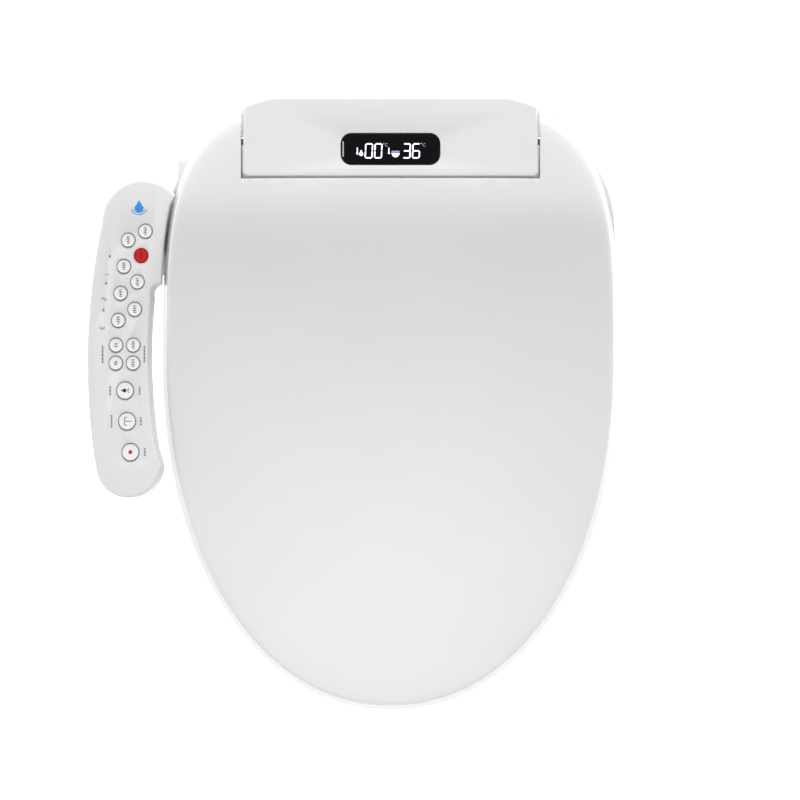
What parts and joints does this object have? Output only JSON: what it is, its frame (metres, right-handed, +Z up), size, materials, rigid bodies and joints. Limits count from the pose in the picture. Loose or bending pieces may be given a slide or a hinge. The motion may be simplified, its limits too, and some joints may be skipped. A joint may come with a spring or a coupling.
{
  "type": "electric bidet seat",
  "caption": "Egg-shaped electric bidet seat with a lid, a heated seat ring, two washing nozzles, a warm-air dryer and a control panel on a side arm.",
  "frame": {"origin": "middle of the line through the two fixing slots, on the underside of the docking plate, which lies on the toilet's deck", "axes": "+Z up; +Y to the rear; -Y to the front tip; -X to the control panel, at the sitter's right hand"},
  "size_m": [0.4427, 0.51, 0.128],
  "materials": {
    "white_gloss": "high-gloss white moulded plastic",
    "white_satin": "satin white moulded plastic",
    "black_glass": "gloss black display window",
    "board_green": "green lacquered circuit board",
    "steel": "brushed stainless steel",
    "brass": "turned brass",
    "grey_plastic": "grey moulded plastic",
    "dark_plastic": "black moulded plastic",
    "rubber": "moulded rubber",
    "red_plastic": "red key cap",
    "clear_plastic": "clear moulded light guide",
    "amber_film": "heating film"
  },
  "bodies": {
    "main": {"base_case": "white_satin", "blower_housing": "grey_plastic", "blower_motor": "dark_plastic", "body_cover": "white_gloss", "display_board": "board_green", "display_lens": "black_glass", "docking_plate": "grey_plastic", "dryer_duct": "dark_plastic", "front_nozzle_motor": "dark_plastic", "heater_tank": "white_satin", "hinge_pin_left": "steel", "hinge_pin_right": "steel", "indicator_light_guide": "clear_plastic", "inlet_valve": "grey_plastic", "lid_damper": "dark_plastic", "main_board": "board_green", "nozzle_housing": "grey_plastic", "panel_arm": "white_satin", "panel_board": "board_green", "panel_bottom_shell": "white_satin", "panel_top_shell": "white_satin", "power_cord_gland": "rubber", "rear_nozzle_motor": "dark_plastic", "seat_damper": "dark_plastic", "top_plate": "white_gloss", "water_inlet": "brass"},
    "seat": {"seat_top_shell": "white_gloss", "seat_bottom_shell": "white_satin", "seat_heater_film": "amber_film", "seat_bumper_front_left": "rubber", "seat_bumper_front_right": "rubber", "seat_bumper_rear_left": "rubber", "seat_bumper_rear_right": "rubber"},
    "lid": {"lid_shell": "white_gloss", "lid_bumper_front_left": "rubber", "lid_bumper_front_right": "rubber", "lid_bumper_rear_left": "rubber", "lid_bumper_rear_right": "rubber"},
    "rear_nozzle": {"rear_nozzle": "white_satin", "rear_nozzle_tip": "steel"},
    "front_nozzle": {"front_nozzle": "white_satin", "front_nozzle_tip": "steel"},
    "dryer_flap": {"dryer_flap": "white_satin"},
    "blower_wheel": {"blower_wheel": "white_satin"},
    "quick_release_button": {"quick_release_button": "white_satin"},
    "power_key": {"power_key": "white_satin"},
    "seat_heat_key": {"seat_heat_key": "white_satin"},
    "stop_key": {"stop_key": "red_plastic"},
    "water_heat_key": {"water_heat_key": "white_satin"},
    "pressure_key": {"pressure_key": "white_satin"},
    "nozzle_position_key": {"nozzle_position_key": "white_satin"},
    "massage_key": {"massage_key": "white_satin"},
    "energy_save_key": {"energy_save_key": "white_satin"},
    "pressure_up_key": {"pressure_up_key": "white_satin"},
    "position_forward_key": {"position_forward_key": "white_satin"},
    "pressure_down_key": {"pressure_down_key": "white_satin"},
    "position_back_key": {"position_back_key": "white_satin"},
    "wash_key": {"wash_key": "white_satin"},
    "bidet_key": {"bidet_key": "white_satin"},
    "dry_key": {"dry_key": "white_satin"}
  },
  "joints": [
    {"name": "seat_hinge", "type": "hinge", "parent": "main", "child": "seat", "pos_m": [0, 0.02, 0.1], "axis": [1, 0, 0], "range_deg": [-95, 0]},
    {"name": "lid_hinge", "type": "hinge", "parent": "seat", "child": "lid", "pos_m": [0, 0.02, 0.1], "axis": [-1, 0, 0], "range_deg": [0, 95]},
    {"name": "rear_nozzle_slide", "type": "slide", "parent": "main", "child": "rear_nozzle", "axis": [0, -0.9744, -0.225], "range_m": [0, 0.09]},
    {"name": "front_nozzle_slide", "type": "slide", "parent": "main", "child": "front_nozzle", "axis": [0, -0.9744, -0.225], "range_m": [0, 0.09]},
    {"name": "dryer_flap_hinge", "type": "hinge", "parent": "main", "child": "dryer_flap", "pos_m": [0.08, -0.0738, 0.037], "axis": [-1, 0, 0], "range_deg": [0, 60]},
    {"name": "blower_wheel_spin", "type": "hinge", "parent": "main", "child": "blower_wheel", "pos_m": [0.08, 0, 0.062], "axis": [1, 0, 0], "continuous": true},
    {"name": "quick_release_press", "type": "slide", "parent": "main", "child": "quick_release_button", "axis": [1, 0, 0], "range_m": [0, 0.003], "stiffness_N_per_m": 300, "springref_m": -0.001},
    {"name": "power_key_press", "type": "slide", "parent": "main", "child": "power_key", "axis": [0.1908, 0, -0.9816], "range_m": [0, 0.0008], "stiffness_N_per_m": 500, "springref_m": -0.0004},
    {"name": "seat_heat_key_press", "type": "slide", "parent": "main", "child": "seat_heat_key", "axis": [0.1908, 0, -0.9816], "range_m": [0, 0.0008], "stiffness_N_per_m": 500, "springref_m": -0.0004},
    {"name": "stop_key_press", "type": "slide", "parent": "main", "child": "stop_key", "axis": [0.1908, 0, -0.9816], "range_m": [0, 0.0008], "stiffness_N_per_m": 500, "springref_m": -0.0004},
    {"name": "water_heat_key_press", "type": "slide", "parent": "main", "child": "water_heat_key", "axis": [0.1908, 0, -0.9816], "range_m": [0, 0.0008], "stiffness_N_per_m": 500, "springref_m": -0.0004},
    {"name": "pressure_key_press", "type": "slide", "parent": "main", "child": "pressure_key", "axis": [0.1908, 0, -0.9816], "range_m": [0, 0.0008], "stiffness_N_per_m": 500, "springref_m": -0.0004},
    {"name": "nozzle_position_key_press", "type": "slide", "parent": "main", "child": "nozzle_position_key", "axis": [0.1908, 0, -0.9816], "range_m": [0, 0.0008], "stiffness_N_per_m": 500, "springref_m": -0.0004},
    {"name": "massage_key_press", "type": "slide", "parent": "main", "child": "massage_key", "axis": [0.1908, 0, -0.9816], "range_m": [0, 0.0008], "stiffness_N_per_m": 500, "springref_m": -0.0004},
    {"name": "energy_save_key_press", "type": "slide", "parent": "main", "child": "energy_save_key", "axis": [0.1908, 0, -0.9816], "range_m": [0, 0.0008], "stiffness_N_per_m": 500, "springref_m": -0.0004},
    {"name": "pressure_up_key_press", "type": "slide", "parent": "main", "child": "pressure_up_key", "axis": [0.1908, 0, -0.9816], "range_m": [0, 0.0008], "stiffness_N_per_m": 500, "springref_m": -0.0004},
    {"name": "position_forward_key_press", "type": "slide", "parent": "main", "child": "position_forward_key", "axis": [0.1908, 0, -0.9816], "range_m": [0, 0.0008], "stiffness_N_per_m": 500, "springref_m": -0.0004},
    {"name": "pressure_down_key_press", "type": "slide", "parent": "main", "child": "pressure_down_key", "axis": [0.1908, 0, -0.9816], "range_m": [0, 0.0008], "stiffness_N_per_m": 500, "springref_m": -0.0004},
    {"name": "position_back_key_press", "type": "slide", "parent": "main", "child": "position_back_key", "axis": [0.1908, 0, -0.9816], "range_m": [0, 0.0008], "stiffness_N_per_m": 500, "springref_m": -0.0004},
    {"name": "wash_key_press", "type": "slide", "parent": "main", "child": "wash_key", "axis": [0.1908, 0, -0.9816], "range_m": [0, 0.0008], "stiffness_N_per_m": 500, "springref_m": -0.0004},
    {"name": "bidet_key_press", "type": "slide", "parent": "main", "child": "bidet_key", "axis": [0.1908, 0, -0.9816], "range_m": [0, 0.0008], "stiffness_N_per_m": 500, "springref_m": -0.0004},
    {"name": "dry_key_press", "type": "slide", "parent": "main", "child": "dry_key", "axis": [0.1908, 0, -0.9816], "range_m": [0, 0.0008], "stiffness_N_per_m": 500, "springref_m": -0.0004}
  ]
}
